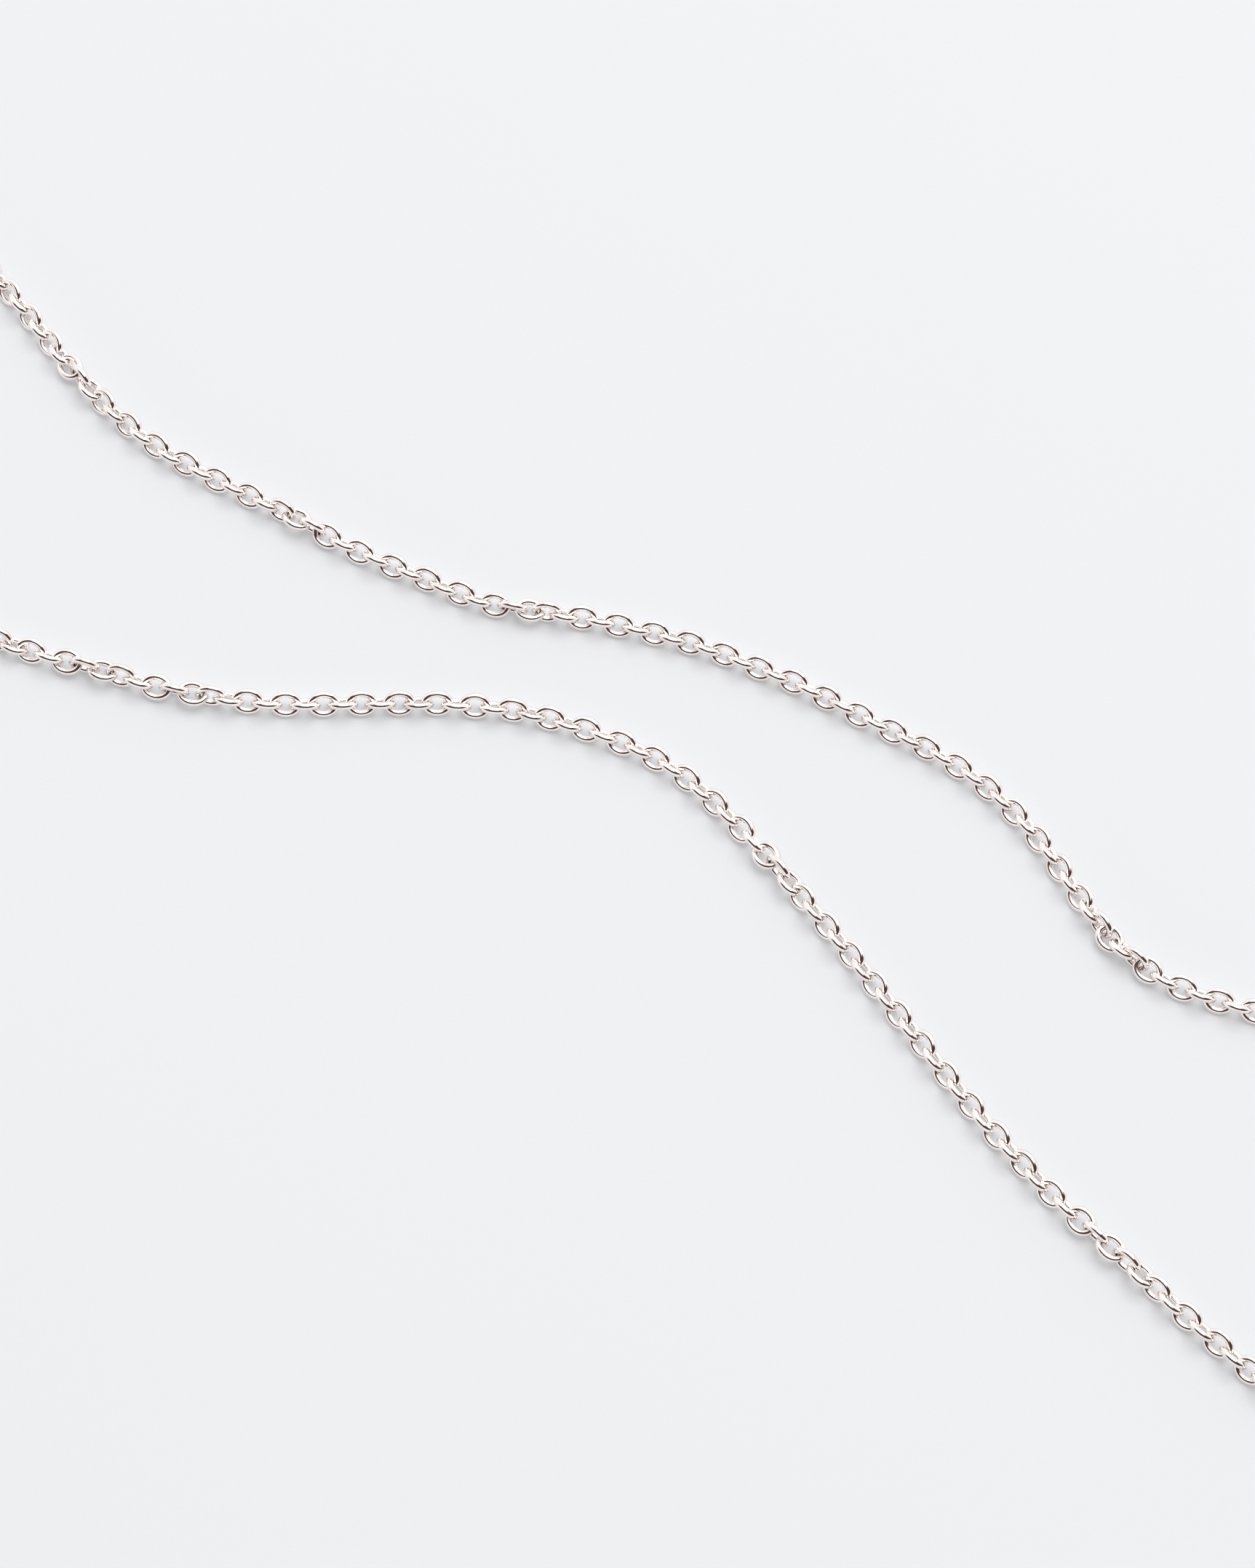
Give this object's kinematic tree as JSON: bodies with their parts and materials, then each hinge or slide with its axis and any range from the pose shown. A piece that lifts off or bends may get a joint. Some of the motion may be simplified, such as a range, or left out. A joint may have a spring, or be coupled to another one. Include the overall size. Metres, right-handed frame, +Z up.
{
  "type": "cable chain necklace",
  "caption": "Fine silver cable chain of leaning oval wire links, closed into a necklace loop by a plain bar clasp and laid out flat in a soft double curve.",
  "frame": {"origin": "centre of the laid-out loop's box, on the surface that the necklace lies on", "axes": "+Z up from that surface, +X along the loop's long way with the clasp at the -X end, +Y towards its far side"},
  "size_m": [0.1916, 0.088, 0.0021],
  "materials": {
    "silver": "polished silver with fine wear, clear mirror reflections"
  },
  "bodies": {
    "root": {"clasp": "silver", "chain": "silver", "link_a01": "silver", "link_a02": "silver", "link_a03": "silver", "link_a04": "silver", "link_a05": "silver", "link_a06": "silver", "link_a07": "silver", "link_a08": "silver", "link_a09": "silver", "link_a10": "silver", "link_a11": "silver", "link_a12": "silver", "link_a13": "silver", "link_a14": "silver", "link_a15": "silver", "link_a16": "silver", "link_a17": "silver", "link_a18": "silver", "link_b01": "silver", "link_b02": "silver", "link_b03": "silver", "link_b04": "silver", "link_b05": "silver", "link_b06": "silver", "link_b07": "silver", "link_b08": "silver", "link_b09": "silver", "link_b10": "silver", "link_b11": "silver", "link_b12": "silver", "link_b13": "silver", "link_b14": "silver", "link_b15": "silver", "link_b16": "silver", "link_b17": "silver", "link_b18": "silver"}
  },
  "joints": []
}
